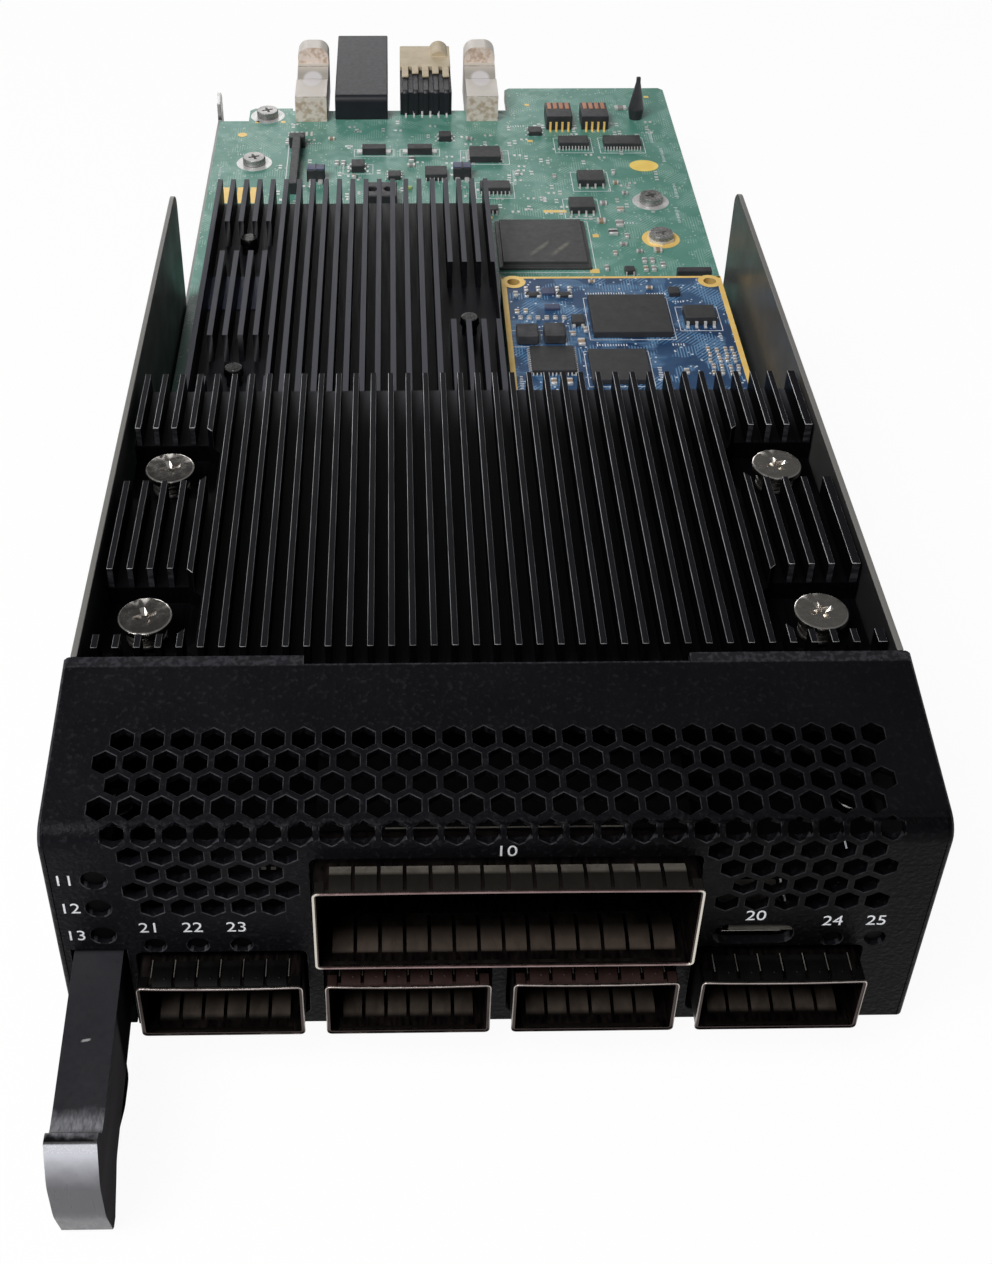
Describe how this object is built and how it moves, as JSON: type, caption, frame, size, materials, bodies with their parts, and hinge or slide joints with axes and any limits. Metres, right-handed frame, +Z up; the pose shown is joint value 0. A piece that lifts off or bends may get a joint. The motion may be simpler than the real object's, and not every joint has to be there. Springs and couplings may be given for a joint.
{
  "type": "switch line card",
  "caption": "Sheet-metal card tray with a vented sloping faceplate, port cages on both sides of its circuit board, finned heatsinks, rear connectors and an ejector lever.",
  "frame": {"origin": "middle of the faceplate's bottom edge, where its outer face meets the plane of the tray's underside", "axes": "+X to the right seen from the front, +Y from the faceplate back to the rear connectors, +Z up from the tray's underside"},
  "size_m": [0.102, 0.2754, 0.0426],
  "materials": {
    "beige_plastic": "moulded beige",
    "black_anodised": "black anodised",
    "black_plastic": "moulded black",
    "black_sheet": "satin black",
    "black_texture": "textured black powder coat",
    "blue_board": "blue solder mask",
    "chip_black": "moulded epoxy",
    "choke_grey": "pressed ferrite",
    "clear_plastic": "smoked clear",
    "contact_nickel": "warm dull nickel",
    "die_cast": "die cast",
    "green_board": "green solder mask",
    "grip_black": "soft black",
    "label_navy": "plain film",
    "lever_black": "satin black",
    "nickel": "bright nickel",
    "pad_grey": "soft thermal pad",
    "port_nickel": "warm nickel",
    "standoff_steel": "nickel plated"
  },
  "bodies": {
    "card": {"board_chips": "chip_black", "board_screw_1": "nickel", "board_screw_2": "nickel", "board_screw_3": "nickel", "board_screw_4": "nickel", "board_screw_5": "nickel", "board_screw_6": "nickel", "board_standoffs": "standoff_steel", "front_heatsink": "black_anodised", "front_panel": "black_texture", "guide_left": "die_cast", "guide_right": "die_cast", "large_chip": "chip_black", "lever_bracket": "black_sheet", "lever_pin": "nickel", "light_pipes": "clear_plastic", "main_board": "green_board", "module_board": "blue_board", "module_chips": "chip_black", "module_chokes": "choke_grey", "module_connector": "black_plastic", "module_standoffs": "standoff_steel", "pin_header": "black_plastic", "power_connector": "black_plastic", "power_parts": "choke_grey", "processor": "chip_black", "push_pins": "nickel", "rear_heatsink": "black_anodised", "service_socket": "nickel", "signal_housing": "beige_plastic", "signal_wafers": "black_plastic", "sink_label": "label_navy", "sink_screw_1": "nickel", "sink_screw_2": "nickel", "sink_screw_3": "nickel", "sink_screw_4": "nickel", "sink_spring_1": "nickel", "sink_spring_2": "nickel", "sink_spring_3": "nickel", "sink_spring_4": "nickel", "sink_standoffs": "standoff_steel", "small_port_cage_1": "port_nickel", "small_port_cage_2": "port_nickel", "small_port_cage_3": "port_nickel", "small_port_cage_4": "port_nickel", "small_port_fingers_1": "contact_nickel", "small_port_fingers_2": "contact_nickel", "small_port_fingers_3": "contact_nickel", "small_port_fingers_4": "contact_nickel", "small_port_sockets": "black_plastic", "terminal_socket": "black_plastic", "thermal_pad": "pad_grey", "tray": "black_sheet", "upright_parts": "black_plastic", "wide_port_cage": "port_nickel", "wide_port_fingers": "contact_nickel", "wide_port_socket": "black_plastic"},
    "lever": {"ejector_lever": "lever_black", "lever_grip": "grip_black"}
  },
  "joints": [
    {"name": "lever_swing", "type": "hinge", "parent": "card", "child": "lever", "pos_m": [-0.0462, 0.007, 0.008], "axis": [1, 0, 0], "range_deg": [0, 35]}
  ]
}
